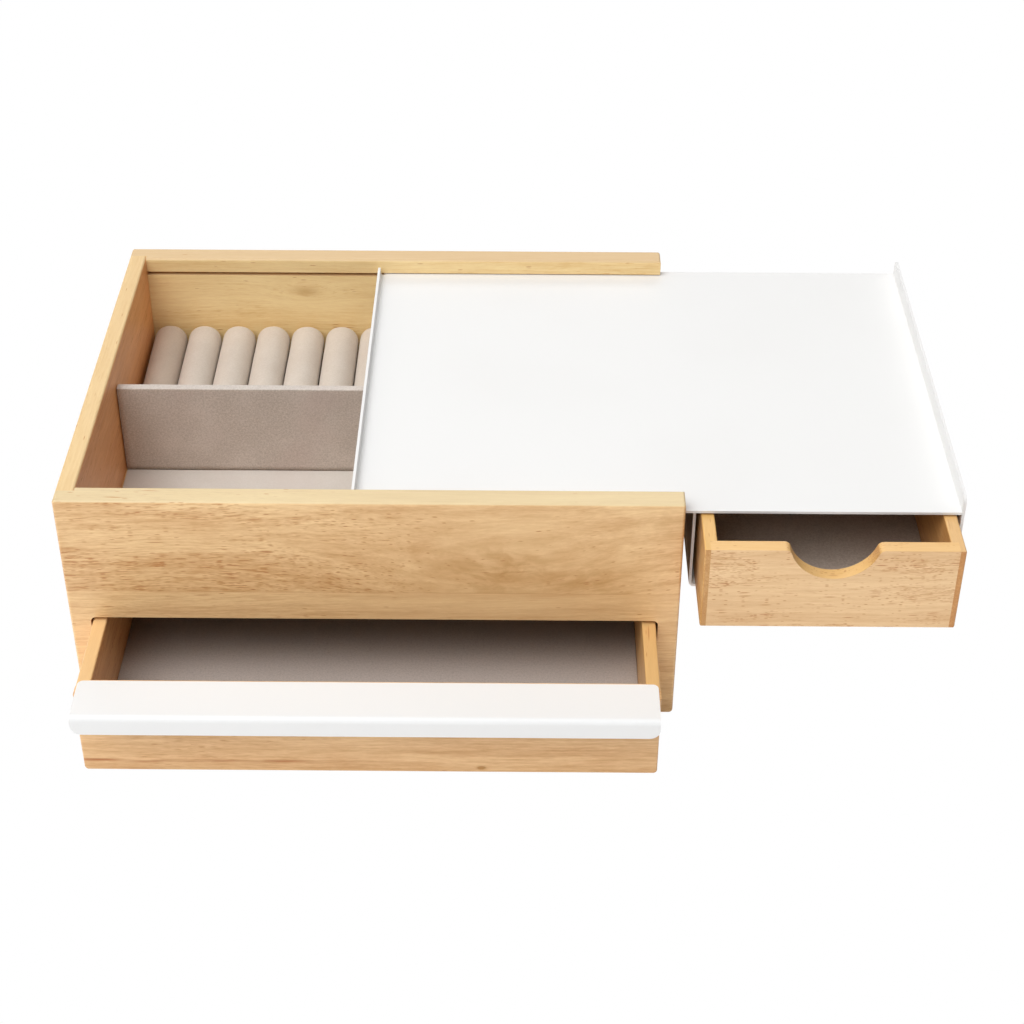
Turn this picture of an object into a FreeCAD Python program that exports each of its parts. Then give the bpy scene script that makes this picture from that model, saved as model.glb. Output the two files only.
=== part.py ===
"""Ring box with drawer: a wooden case with a sliding sheet-metal lid, a side drawer and a front drawer.

Millimetres, +Z up, +X along the case to its open end, +Y to the back.
The origin is the centre of the case's underside.
The lid is drawn out to +X, both drawers are drawn out to the front (-Y).
"""
import FreeCAD, Part
import os

# ---- driving dimensions: case ----
case_width = 270.0
case_depth = 219.0
case_height = 118.5
board = 10.8                 # thickness of the front and back boards
wall = 8.3                   # thickness of the two side walls
housing = 3.0                # how deep walls and floor are let into their neighbours
base_thickness = 9.4
edge_round = 1.2             # rounding of the boards' long edges
foot_round = 1.8             # rounding of the lower outer corners
leg_width = 9.0              # front board left and right of the drawer opening
opening_height = 54.8        # top of the front drawer's opening
opening_corner = 2.5         # rounding of the opening's upper corners

# ---- driving dimensions: lid groove ----
groove_drop = 7.4            # rim above the groove
groove_height = 1.9
groove_depth = 4.5

# ---- driving dimensions: ring compartment ----
floor_lip = 1.6              # wood left under the floor's groove
floor_thickness = 2.6
felt = 0.8                   # every lining is this thick
liner_gap = 0.5              # between a lining and a wall
front_bay = 95.8             # front board to divider
divider_core_thickness = 2.8
divider_headroom = 3.3       # divider to lid
roll_count = 8
roll_diameter = 17.5
roll_gap = 0.25              # between two rolls
roll_seat = 0.1              # between a roll and its base
roll_end_round = 1.5
roll_base_thickness = 5.2

# ---- driving dimensions: lid and cradle (bent sheet) ----
sheet = 1.2
bend = 1.4                   # inner bend radius
lid_lift = 0.15              # sheet above the groove's lower face
tongue_gap = 0.7             # sheet's edge to the groove's bottom
cradle_clearance = 4.45      # drawn-out cradle past the case's right end
lip_gap = 0.2                # shut lid's lip to the left wall
end_gap = 1.3                # shut lid's end wall to the boards' ends
lip_height = 4.8             # left lip above the plate
lip_corner = 1.5             # rounding of the left lip's upper corners
lip_side_gap = 0.8           # lip's ends to the boards
relief_radius = 1.0          # bend relief at the lip's ends
end_corner = 3.5             # rounding of the end wall's corners
bay_gap = 1.0                # shut cradle to the partition
cradle_side_gap = 0.8        # cradle's edges to the boards
cradle_inner_height = 42.75
cradle_wall_gap = 1.4        # cradle's underside to the low right wall
flange_width = 9.0           # cradle's fixing flange under the plate
stop_height = 12.0           # drawer stop at the cradle's back
stop_inset = 6.0

# ---- driving dimensions: side drawer ----
side_drawer_play = 1.7       # each side, in the cradle
side_drawer_top_gap = 1.05
side_drawer_base_gap = 0.4
side_drawer_setback = 1.0    # shut drawer's face behind the front board's inner face
side_drawer_stop_gap = 0.6
side_drawer_opening = 29.4
side_board = 5.8             # side and back boards
side_front = 6.5             # front board
side_lap = 2.6               # side board's end grain left at the face
side_floor = 2.8
side_rebate = 3.0            # floor let into the boards
notch_radius = 19.5
notch_depth = 15.0
notch_shoulder = 3.0

# ---- driving dimensions: front drawer ----
front_drawer_play = 1.0      # each side, in the opening
front_drawer_base_gap = 0.4
front_drawer_back_gap = 4.0
front_drawer_opening = 50.0
drawer_front = 10.0
drawer_side = 6.2
drawer_lap = 6.0             # front board's thickness over the side boards' ends
drawer_floor_lip = 3.0
drawer_floor = 2.9
drawer_floor_tongue = 3.0
drawer_round = 0.8           # rounding of the drawer boards' edges
drawer_corner = 1.8          # lower corners of the drawer's front

# ---- driving dimensions: pull ----
pull_top_gap = 0.6           # pull to the opening's top
pull_overhang = 15.3
pull_drop = 9.5              # lip, from the pull's top
pull_inset = 1.0             # each end, inside the drawer front
pull_back_inset = 1.7
pull_corner = 4.5            # rounding of the lip's lower corners
pull_back_corner = 2.5
stud_radius = 1.5
stud_length = 8.0
stud_count = 3
stud_clearance = 0.1

# ---- modelling ----
overshoot = 1.0              # cutters reach this far past what they cut
tolerance = 1e-5             # for finding an edge by its place

# ---- derived: case ----
left = -case_width / 2
right = case_width / 2
front = -case_depth / 2
back = case_depth / 2
inner_left = left + wall
inner_front = front + board
inner_back = back - board
floor_z = opening_height + floor_lip
floor_top = floor_z + floor_thickness
felt_top = floor_top + felt

# ---- derived: compartment ----
roll_pitch = roll_diameter + roll_gap
rolls_left = inner_left + liner_gap
partition_left = rolls_left + roll_count * roll_pitch + roll_gap
divider_thickness = divider_core_thickness + 2 * felt
partition_right = partition_left + divider_thickness
divider_front = inner_front + front_bay
divider_back = divider_front + divider_thickness

# ---- derived: lid ----
groove_top = case_height - groove_drop
groove_floor = groove_top - groove_height
plate_z = groove_floor + lid_lift
plate_top = plate_z + sheet
plate_front = inner_front - groove_depth + tongue_gap
plate_back = inner_back + groove_depth - tongue_gap
lip_top = plate_top + lip_height
divider_top = plate_z - divider_headroom
lid_opening = right + cradle_clearance - partition_right - bay_gap
lid_left = inner_left + lip_gap + lid_opening
end_inner = right + end_gap + lid_opening
end_outer = end_inner + sheet

# ---- derived: cradle ----
cradle_left = partition_right + bay_gap + lid_opening
cradle_floor = plate_z - cradle_inner_height
cradle_z = cradle_floor - sheet
cradle_front = inner_front + cradle_side_gap
cradle_back = inner_back - cradle_side_gap
right_wall_height = cradle_z - cradle_wall_gap

# ---- derived: side drawer ----
side_left = cradle_left + sheet + side_drawer_play
side_right = end_inner - side_drawer_play
side_z = cradle_floor + side_drawer_base_gap
side_top = plate_z - side_drawer_top_gap
side_shut_face = inner_front + side_drawer_setback
side_length = cradle_back - sheet - side_drawer_stop_gap - side_shut_face
side_face = side_shut_face - side_drawer_opening
side_end = side_face + side_length

# ---- derived: front drawer ----
drawer_left = left + leg_width + front_drawer_play
drawer_right = right - leg_width - front_drawer_play
drawer_z = base_thickness + front_drawer_base_gap
drawer_top = opening_height - pull_top_gap - sheet
drawer_face = front - front_drawer_opening
drawer_end = inner_back - front_drawer_back_gap - front_drawer_opening
drawer_floor_z = drawer_z + drawer_floor_lip
drawer_floor_top = drawer_floor_z + drawer_floor


def block(x0, x1, y0, y1, z0, z1):
    """A box between two corners."""
    return Part.makeBox(x1 - x0, y1 - y0, z1 - z0, FreeCAD.Vector(x0, y0, z0))


def edges_on(shape, axis, **planes):
    """Straight edges along one axis that lie on every plane named as x=, y= or z=."""
    found = []
    for edge in shape.Edges:
        ends = [vertex.Point for vertex in edge.Vertexes]
        if len(ends) < 2 or abs(abs(edge.tangentAt(edge.FirstParameter)[axis]) - 1) > tolerance:
            continue
        offsets = [abs(getattr(end, name) - value) for end in ends for name, value in planes.items()]
        if max(offsets, default=0) < tolerance:
            found.append(edge)
    return found


def soften(shape, radius, *edge_lists):
    """The shape with the listed edges rounded."""
    edges = [edge for edge_list in edge_lists for edge in edge_list]
    return shape.makeFillet(radius, edges)


def save(name, shape):
    """Write one node's STEP file."""
    shape.removeSplitter().exportStep("parts/" + name + ".step")


# ---- case ----
def case_board(outer, inner):
    """A full-width board with rounded outer edges, its grooves and its housings."""
    low = min(outer, inner)
    high = max(outer, inner)
    inwards = 1 if inner > outer else -1
    shape = block(left, right, low, high, 0, case_height)
    shape = soften(shape, foot_round, edges_on(shape, 1, z=0))
    shape = soften(
        shape,
        edge_round,
        edges_on(shape, 0, z=case_height),
        edges_on(shape, 2, y=outer),
        edges_on(shape, 1, z=case_height),
    )

    def pocket(x0, x1, depth, z0, z1):
        """A cut into the board's inner face."""
        y_pair = sorted((inner - inwards * depth, inner + inwards * overshoot))
        return block(x0, x1, y_pair[0], y_pair[1], z0, z1)

    past_left = left - overshoot
    past_right = right + overshoot
    shape = shape.cut(pocket(inner_left, past_right, groove_depth, groove_floor, groove_top))
    shape = shape.cut(pocket(past_left, inner_left, housing, -overshoot, case_height + overshoot))
    shape = shape.cut(pocket(right - wall, past_right, housing, -overshoot, right_wall_height))
    floor_right = right - wall + housing
    return shape.cut(pocket(inner_left - housing, floor_right, housing, floor_z, floor_top))


def front_board():
    """The front board, with the front drawer's opening."""
    x0 = left + leg_width
    x1 = right - leg_width
    opening = block(x0, x1, front - overshoot, inner_front + overshoot, -overshoot, opening_height)
    opening = soften(opening, opening_corner, edges_on(opening, 1, z=opening_height))
    return case_board(front, inner_front).cut(opening)


def floor_panel():
    """The compartment's floor, let into the boards and walls on four sides."""
    x0 = inner_left - housing
    x1 = right - wall + housing
    return block(x0, x1, inner_front - housing, inner_back + housing, floor_z, floor_top)


def side_wall(outer, inner, height):
    """A wall that stands in the housings of the front and back boards."""
    x_pair = sorted((outer, inner))
    shape = block(x_pair[0], x_pair[1], inner_front - housing, inner_back + housing, 0, height)
    shape = soften(shape, foot_round, edges_on(shape, 1, x=outer, z=0))
    return soften(shape, edge_round, edges_on(shape, 1, z=height)).cut(floor_panel())


def base_board():
    """The board under the front drawer, flush with the case's underside."""
    between_walls = block(inner_left, right - wall, inner_front, inner_back, 0, base_thickness)
    between_legs = block(left + leg_width, right - leg_width, front, inner_front, 0, base_thickness)
    return between_walls.fuse(between_legs)


def make_case():
    """All the case's wooden boards."""
    save("front_board", front_board())
    save("back_board", case_board(back, inner_back))
    save("left_wall", side_wall(left, inner_left, case_height))
    save("right_wall", side_wall(right, right - wall, right_wall_height))
    save("base_board", base_board())
    save("compartment_floor", floor_panel())


# ---- ring compartment ----
def save_lined_board(name, x0, x1, y0, y1, x_inset, y_inset):
    """A thin board standing on the floor, and the felt wrapped over its two faces and its top."""
    core = block(x0 + x_inset, x1 - x_inset, y0 + y_inset, y1 - y_inset, floor_top, divider_top - felt)
    wrap = block(x0, x1, y0, y1, floor_top, divider_top)
    wrap = soften(wrap, felt, edges_on(wrap, 0 if y_inset else 1, z=divider_top))
    save(name + "_core", core)
    save(name + "_felt", wrap.cut(core))


def ring_roll(x, y0, y1):
    """A long soft roll with rounded ends, lying along Y."""
    radius = roll_diameter / 2
    z = floor_top + roll_base_thickness + roll_seat + radius
    roll = Part.makeCylinder(radius, y1 - y0, FreeCAD.Vector(x, y0, z), FreeCAD.Vector(0, 1, 0))
    rims = [edge for edge in roll.Edges if isinstance(edge.Curve, Part.Circle)]
    return roll.makeFillet(roll_end_round, rims)


def make_compartment():
    """Partition, divider, floor lining, and the row of ring rolls on its base."""
    partition_y0 = inner_front + liner_gap
    partition_y1 = inner_back - liner_gap
    save_lined_board("partition", partition_left, partition_right, partition_y0, partition_y1, felt, 0)
    divider_right = partition_left - roll_gap
    save_lined_board("divider", rolls_left, divider_right, divider_front, divider_back, 0, felt)
    lining = block(rolls_left, divider_right, inner_front + liner_gap, divider_front, floor_top, felt_top)
    save("compartment_felt", lining)
    roll_y0 = divider_back + liner_gap
    roll_y1 = inner_back - liner_gap
    base_top = floor_top + roll_base_thickness
    save("roll_base", block(rolls_left, divider_right, roll_y0, roll_y1, floor_top, base_top))
    for index in range(roll_count):
        x = rolls_left + roll_pitch * (index + 0.5)
        save("ring_roll_%d" % (index + 1), ring_roll(x, roll_y0, roll_y1))


# ---- lid and cradle ----
def bent_strip(path, y0, y1):
    """Sheet metal folded at right angles along a path of (x, z) points on its right-hand face."""
    left_side = []
    for index, (x, z) in enumerate(path):
        before = path[max(index - 1, 0)]
        after = path[min(index + 1, len(path) - 1)]
        normals = []
        for start, end in ((before, (x, z)), ((x, z), after)):
            length = abs(end[0] - start[0]) + abs(end[1] - start[1])
            if length:
                normals.append(((start[1] - end[1]) / length, (end[0] - start[0]) / length))
        shift_x = sum(normal[0] for normal in normals) if len(normals) == 2 else normals[0][0]
        shift_z = sum(normal[1] for normal in normals) if len(normals) == 2 else normals[0][1]
        left_side.append((x + shift_x * sheet, z + shift_z * sheet))
    outline = list(path) + left_side[::-1]
    points = [FreeCAD.Vector(x, y0, z) for x, z in outline]
    face = Part.Face(Part.makePolygon(points + points[:1]))
    strip = face.extrude(FreeCAD.Vector(0, y1 - y0, 0))
    for near, far in list(zip(path, left_side))[1:-1]:
        turn = path_turn(path, near)
        inner_point = far if turn > 0 else near
        outer_point = near if turn > 0 else far
        strip = strip.makeFillet(bend, edges_on(strip, 1, x=inner_point[0], z=inner_point[1]))
        strip = strip.makeFillet(bend + sheet, edges_on(strip, 1, x=outer_point[0], z=outer_point[1]))
    return strip


def path_turn(path, corner):
    """Positive where the path turns to its left at the corner."""
    index = path.index(corner)
    before = path[index - 1]
    after = path[index + 1]
    in_x = corner[0] - before[0]
    in_z = corner[1] - before[1]
    return in_x * (after[1] - corner[1]) - in_z * (after[0] - corner[0])


def lid_plate():
    """The flat plate with its turned-up left lip and the reliefs at the lip's ends."""
    lip_front = inner_front + lip_side_gap
    lip_back = inner_back - lip_side_gap
    outer_bend = bend + sheet
    plate = block(lid_left + outer_bend, end_inner, plate_front, plate_back, plate_z, plate_top)
    path = [(lid_left, lip_top), (lid_left, plate_z), (lid_left + 2 * outer_bend, plate_z)]
    lip = bent_strip(path, lip_front, lip_back)
    plate = plate.fuse(soften(lip, lip_corner, edges_on(lip, 0, z=lip_top)))
    for y in (lip_front - relief_radius, lip_back + relief_radius):
        at = FreeCAD.Vector(lid_left + outer_bend, y, plate_z - overshoot)
        plate = plate.cut(Part.makeCylinder(relief_radius, sheet + 2 * overshoot, at))
    return plate


def end_wall():
    """The end wall, as high as the case, with its four rounded corners."""
    z0 = cradle_z + bend + sheet
    shape = block(end_inner, end_outer, plate_front, plate_back, z0, case_height)
    return soften(shape, end_corner, edges_on(shape, 0))


def cradle():
    """The bent tray under the lid: fixing flange, left sheet, floor, end wall and drawer stop."""
    path = [
        (cradle_left - flange_width, plate_z - sheet),
        (cradle_left, plate_z - sheet),
        (cradle_left, cradle_z),
        (end_outer, cradle_z),
        (end_outer, case_height - end_corner),
    ]
    tray = bent_strip(path, cradle_front, cradle_back).fuse(end_wall())
    stop_left = cradle_left + sheet + stop_inset
    stop_right = end_inner - stop_inset
    stop_top = cradle_floor + stop_height
    stop = block(stop_left, stop_right, cradle_back - sheet, cradle_back, cradle_z, stop_top)
    return tray.fuse(stop)


def make_lid():
    """The plate and the cradle welded under it."""
    save("lid_plate", lid_plate())
    save("cradle", cradle())


# ---- side drawer ----
def side_drawer_floor():
    """The drawer's floor, let into a rebate round its underside."""
    x0 = side_left + side_board - side_rebate
    x1 = side_right - side_board + side_rebate
    y0 = side_face + side_front - side_rebate
    y1 = side_end - side_board + side_rebate
    return block(x0, x1, y0, y1, side_z, side_z + side_floor)


def side_drawer_front():
    """The front board with its finger notch, lapped by the side boards' ends."""
    x0 = side_left + side_lap
    x1 = side_right - side_lap
    shape = block(x0, x1, side_face, side_face + side_front, side_z, side_top)
    middle = (side_left + side_right) / 2
    rise = notch_radius - notch_depth
    half_chord = (notch_radius ** 2 - rise ** 2) ** 0.5
    at = FreeCAD.Vector(middle, side_face - overshoot, side_top + rise)
    length = side_front + 2 * overshoot
    shape = shape.cut(Part.makeCylinder(notch_radius, length, at, FreeCAD.Vector(0, 1, 0)))
    shoulders = [edges_on(shape, 1, x=middle + side * half_chord, z=side_top) for side in (-1, 1)]
    return soften(shape, notch_shoulder, *shoulders).cut(side_drawer_floor())


def side_drawer_side(outer, inner):
    """A side board whose front end laps round the front board's end."""
    x_pair = sorted((outer, inner))
    shape = block(x_pair[0], x_pair[1], side_face, side_end, side_z, side_top)
    shape = soften(
        shape,
        drawer_round,
        edges_on(shape, 1, z=side_top),
        edges_on(shape, 2, x=outer),
        edges_on(shape, 1, x=outer, z=side_z),
    )
    x0 = side_left + side_lap
    x1 = side_right - side_lap
    y0 = side_face - overshoot
    y1 = side_face + side_front
    recess = block(x0, x1, y0, y1, side_z - overshoot, side_top + overshoot)
    return shape.cut(recess).cut(side_drawer_floor())


def make_side_drawer():
    """The drawer that slides in the cradle."""
    inner_x0 = side_left + side_board
    inner_x1 = side_right - side_board
    save("side_drawer_front", side_drawer_front())
    save("side_drawer_left", side_drawer_side(side_left, inner_x0))
    save("side_drawer_right", side_drawer_side(side_right, inner_x1))
    rear = block(inner_x0, inner_x1, side_end - side_board, side_end, side_z, side_top)
    save("side_drawer_back", rear.cut(side_drawer_floor()))
    save("side_drawer_floor", side_drawer_floor())
    lining_top = side_z + side_floor + felt
    lining_y0 = side_face + side_front
    lining_y1 = side_end - side_board
    lining = block(inner_x0, inner_x1, lining_y0, lining_y1, side_z + side_floor, lining_top)
    save("side_drawer_felt", lining)


# ---- front drawer ----
def drawer_floor_panel():
    """The drawer's floor, in grooves on all four sides."""
    x0 = drawer_left + drawer_side - drawer_floor_tongue
    x1 = drawer_right - drawer_side + drawer_floor_tongue
    y0 = drawer_face + drawer_front - drawer_floor_tongue
    y1 = drawer_end - drawer_side + drawer_floor_tongue
    return block(x0, x1, y0, y1, drawer_floor_z, drawer_floor_top)


def drawer_side_block(outer, inner):
    """A side board, from its lap behind the front board to the drawer's end."""
    x_pair = sorted((outer, inner))
    return block(x_pair[0], x_pair[1], drawer_face + drawer_lap, drawer_end, drawer_z, drawer_top)


def stud_places():
    """X positions of the pull's welded studs."""
    spacing = (drawer_right - drawer_left) / stud_count
    return [drawer_left + spacing * (index + 0.5) for index in range(stud_count)]


def studs(radius, length):
    """Round pins that go down into the drawer front's top."""
    y = drawer_face + drawer_front / 2
    down = FreeCAD.Vector(0, 0, -1)
    tops = [FreeCAD.Vector(x, y, drawer_top) for x in stud_places()]
    return Part.makeCompound([Part.makeCylinder(radius, length, top, down) for top in tops])


def front_drawer_front():
    """The thick front board, rebated for the side boards and drilled for the pull's studs."""
    y1 = drawer_face + drawer_front
    shape = block(drawer_left, drawer_right, drawer_face, y1, drawer_z, drawer_top)
    shape = soften(shape, drawer_corner, edges_on(shape, 1, z=drawer_z))
    lower_edge = edges_on(shape, 0, y=drawer_face, z=drawer_z)
    shape = soften(shape, drawer_round, lower_edge, edges_on(shape, 2, y=drawer_face))
    shape = shape.cut(drawer_side_block(drawer_left, drawer_left + drawer_side))
    shape = shape.cut(drawer_side_block(drawer_right, drawer_right - drawer_side))
    shape = shape.cut(drawer_floor_panel())
    return shape.cut(studs(stud_radius + stud_clearance, stud_length + stud_clearance))


def front_drawer_side(outer, inner):
    """A side board with a groove for the floor."""
    shape = drawer_side_block(outer, inner)
    lower_edge = edges_on(shape, 1, x=outer, z=drawer_z)
    shape = soften(shape, drawer_round, edges_on(shape, 1, z=drawer_top), lower_edge)
    return shape.cut(drawer_floor_panel())


def pull():
    """The bent pull: a plate on the drawer front, a turned-down lip and three studs."""
    x0 = drawer_left + pull_inset
    x1 = drawer_right - pull_inset
    y0 = drawer_face - pull_overhang
    y1 = drawer_face + drawer_front - pull_back_inset
    top = drawer_top + sheet
    profile = block(x0, x1, y0, y1, top - pull_drop, top)
    under = top - pull_drop - overshoot
    behind = y1 + overshoot
    profile = profile.cut(block(x0 - overshoot, x1 + overshoot, y0 + sheet, behind, under, drawer_top))
    profile = soften(profile, bend, edges_on(profile, 0, y=y0 + sheet, z=drawer_top))
    profile = soften(profile, bend + sheet, edges_on(profile, 0, y=y0, z=top))
    profile = soften(profile, pull_corner, edges_on(profile, 1, z=top - pull_drop))
    profile = soften(profile, pull_back_corner, edges_on(profile, 2, y=y1))
    for pin in studs(stud_radius, stud_length).Solids:
        profile = profile.fuse(pin)
    return profile


def make_front_drawer():
    """The drawer under the ring compartment."""
    inner_x0 = drawer_left + drawer_side
    inner_x1 = drawer_right - drawer_side
    rear = block(inner_x0, inner_x1, drawer_end - drawer_side, drawer_end, drawer_z, drawer_top)
    lining_y0 = drawer_face + drawer_front
    lining_y1 = drawer_end - drawer_side
    lining = block(inner_x0, inner_x1, lining_y0, lining_y1, drawer_floor_top, drawer_floor_top + felt)
    save("front_drawer_front", front_drawer_front())
    save("front_drawer_left", front_drawer_side(drawer_left, inner_x0))
    save("front_drawer_right", front_drawer_side(drawer_right, inner_x1))
    save("front_drawer_back", rear.cut(drawer_floor_panel()))
    save("front_drawer_floor", drawer_floor_panel())
    save("front_drawer_felt", lining)
    save("drawer_pull", pull())


os.makedirs("parts", exist_ok=True)
make_case()
make_compartment()
make_lid()
make_side_drawer()
make_front_drawer()
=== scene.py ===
"""Dresses the ring box: a finish for every board, sheet and lining, and its soft pieces as modelled meshes.

Metres, in the frame's axes: +Z is up, +X points to the end the lid slides out of, and the front faces -Y.
Patterns are worked out in millimetres, with the grain of each board along its own local X.
"""
import logging
import math
from dataclasses import dataclass, field, fields, replace
from enum import Enum
from functools import partial, reduce

import bmesh
import bpy
import numpy as np
from mathutils import Matrix, Vector


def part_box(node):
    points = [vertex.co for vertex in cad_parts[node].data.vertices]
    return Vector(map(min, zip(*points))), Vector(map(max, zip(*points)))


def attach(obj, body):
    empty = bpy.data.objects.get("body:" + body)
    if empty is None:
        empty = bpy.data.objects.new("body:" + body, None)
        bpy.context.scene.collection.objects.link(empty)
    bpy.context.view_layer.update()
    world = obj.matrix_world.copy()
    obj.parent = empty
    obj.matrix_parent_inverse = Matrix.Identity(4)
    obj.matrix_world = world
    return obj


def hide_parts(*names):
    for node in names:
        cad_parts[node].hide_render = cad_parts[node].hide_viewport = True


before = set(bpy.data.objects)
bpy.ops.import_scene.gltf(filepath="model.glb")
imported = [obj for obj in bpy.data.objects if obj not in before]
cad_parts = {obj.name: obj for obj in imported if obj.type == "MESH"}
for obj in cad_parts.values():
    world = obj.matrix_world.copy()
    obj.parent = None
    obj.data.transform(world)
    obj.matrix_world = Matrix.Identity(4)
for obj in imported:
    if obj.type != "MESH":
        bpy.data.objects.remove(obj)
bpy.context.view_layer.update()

log = logging.getLogger("ring_box")

MM = 0.001
SEED_SHIFT = (137.0, 61.7, 83.1)
FAR_BELOW = -1000.0
FAR_PAST = 1000.0
# How far up a face must look for the painted highlight on its top to start and to be full.
UPWARD = (0.2, 0.8)
WAVE_LENGTHS = (60.0 * MM, 37.0 * MM, 23.0 * MM, 14.0 * MM)
WAVE_TURN, WAVE_SHIFT, SEED_PHASE, WAVE_PEAK = 1.7, 2.3, 5.1, 1.3
RIM_SHARES = (0.0, 0.12, 0.45)
NOISE_MIDDLE = 0.5
WELD, SLIVER, TINY = 1e-6, 1e-7, 1e-12
Triple = tuple[float, float, float]
Pair = tuple[float, float]
Socket = bpy.types.NodeSocket
Sockets = dict[str, bpy.types.NodeSocket]
Value = Socket | float | tuple
Values = dict[str | int, Value] | tuple[Value, ...]


# ---- node wiring ----
class Wiring:
    """Adds nodes to one node tree and links them as they are added."""

    def __init__(self, tree: bpy.types.NodeTree) -> None:
        """Keeps the tree that nodes go into."""
        self.tree = tree

    def put(self, target: Socket, value: Value) -> None:
        """Links a socket to the target, or writes a plain value into it.

        Args:
            target: the input.
            value: a socket, a number, or a colour or vector.
        """
        if isinstance(value, Socket):
            self.tree.links.new(value, target)
        elif isinstance(value, tuple) and target.type == "RGBA":
            target.default_value = (*value[:3], 1.0)
        else:
            target.default_value = value

    def fill(self, node: bpy.types.Node, values: Values) -> None:
        """Puts values into a node's inputs, by their names or numbers, or else in order."""
        for key, value in values.items() if isinstance(values, dict) else enumerate(values):
            self.put(node.inputs[key], value)

    def node(self, kind: str, values: Values = (), **settings: object) -> bpy.types.Node:
        """Adds a node of one type, sets its properties and fills its inputs.

        Args:
            kind: the node's type.
            values: what goes into its inputs.
            settings: its properties by name.

        Returns:
            The new node.
        """
        made = self.tree.nodes.new(kind)
        for name, setting in settings.items():
            setattr(made, name, setting)
        self.fill(made, values)
        return made

    def math(self, operation: str, *values: Value, clamp: bool = False) -> Socket:
        """One scalar comparison, power or other Math operation."""
        return self.node("ShaderNodeMath", values, operation=operation, use_clamp=clamp).outputs[0]

    def times(self, *values: Value) -> Socket:
        """The product of two or more numbers."""
        return reduce(partial(self.math, "MULTIPLY"), values)

    def plus(self, *values: Value) -> Socket:
        """The sum of two or more numbers."""
        return reduce(partial(self.math, "ADD"), values)

    def most(self, *values: Value) -> Socket:
        """The largest of two or more numbers."""
        return reduce(partial(self.math, "MAXIMUM"), values)

    def minus(self, first: Value, second: Value) -> Socket:
        """The first number less the second."""
        return self.math("SUBTRACT", first, second)

    def vector(self, operation: str, *values: Value, output: int = 0) -> Socket:
        """One Vector Math operation, whose second output is the number that it gives, such as a length.

        Args:
            operation: its name in Blender.
            values: one or two vectors, or a vector and a factor.
            output: which output is wanted.

        Returns:
            The socket of that output.
        """
        keys = (0, "Scale") if operation == "SCALE" else (0, 1)
        made = self.node("ShaderNodeVectorMath", dict(zip(keys, values)), operation=operation)
        return made.outputs[output]

    def scaled(self, vector: Value, factors: Triple) -> Socket:
        """A vector multiplied by one factor per axis."""
        return self.vector("MULTIPLY", vector, factors)

    def span(self, value: Value, low: float, high: float, first: Value = 0.0, last: Value = 1.0) -> Socket:
        """Maps low..high smoothly to first..last, and holds the ends."""
        values = (value, low, high, first, last)
        return self.node("ShaderNodeMapRange", values, interpolation_type="SMOOTHSTEP").outputs[0]

    def blend(self, factor: Value, first: Value, second: Value, how: str = "MIX") -> Socket:
        """Two colours mixed by a factor."""
        values = {0: factor, 6: first, 7: second}
        return self.node("ShaderNodeMix", values, data_type="RGBA", blend_type=how).outputs[2]

    def axes(self, vector: Value) -> tuple[Socket, ...]:
        """A vector's three parts."""
        return tuple(self.node("ShaderNodeSeparateXYZ", (vector,)).outputs)

    def facing(self) -> Socket:
        """Which way the surface faces, in the object's own axes."""
        return self.node("ShaderNodeTexCoord").outputs["Normal"]


@dataclass(frozen=True)
class Noise:
    """Fractal noise, by its scale along each axis per millimetre."""

    scale: Triple
    detail: float = 2.0
    roughness: float = 0.5

    def texture(self, w: Wiring, place: Value) -> bpy.types.Node:
        """The noise texture at a place in millimetres."""
        values = {"Vector": w.scaled(place, self.scale), "Scale": 1.0}
        return w.node("ShaderNodeTexNoise", values | {"Detail": self.detail, "Roughness": self.roughness})

    def value(self, w: Wiring, place: Value) -> Socket:
        """The noise, which lies round NOISE_MIDDLE."""
        return self.texture(w, place).outputs["Fac"]

    def swing(self, w: Wiring, place: Value, depth: float) -> Socket:
        """The noise less its middle, times a depth."""
        return w.times(w.minus(self.value(w, place), NOISE_MIDDLE), depth)

    def push(self, w: Wiring, place: Value, reach: Triple) -> Socket:
        """A vector of three noises round zero, by a reach in mm along each axis."""
        colour = self.texture(w, place).outputs["Color"]
        return w.scaled(w.vector("SUBTRACT", colour, (NOISE_MIDDLE,) * 3), reach)


class Kind(Enum):
    """What a group's socket carries."""

    NUMBER = "NodeSocketFloat"
    COLOUR = "NodeSocketColor"
    PLACE = "NodeSocketVector"
    SHAPE = "NodeSocketGeometry"


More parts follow.
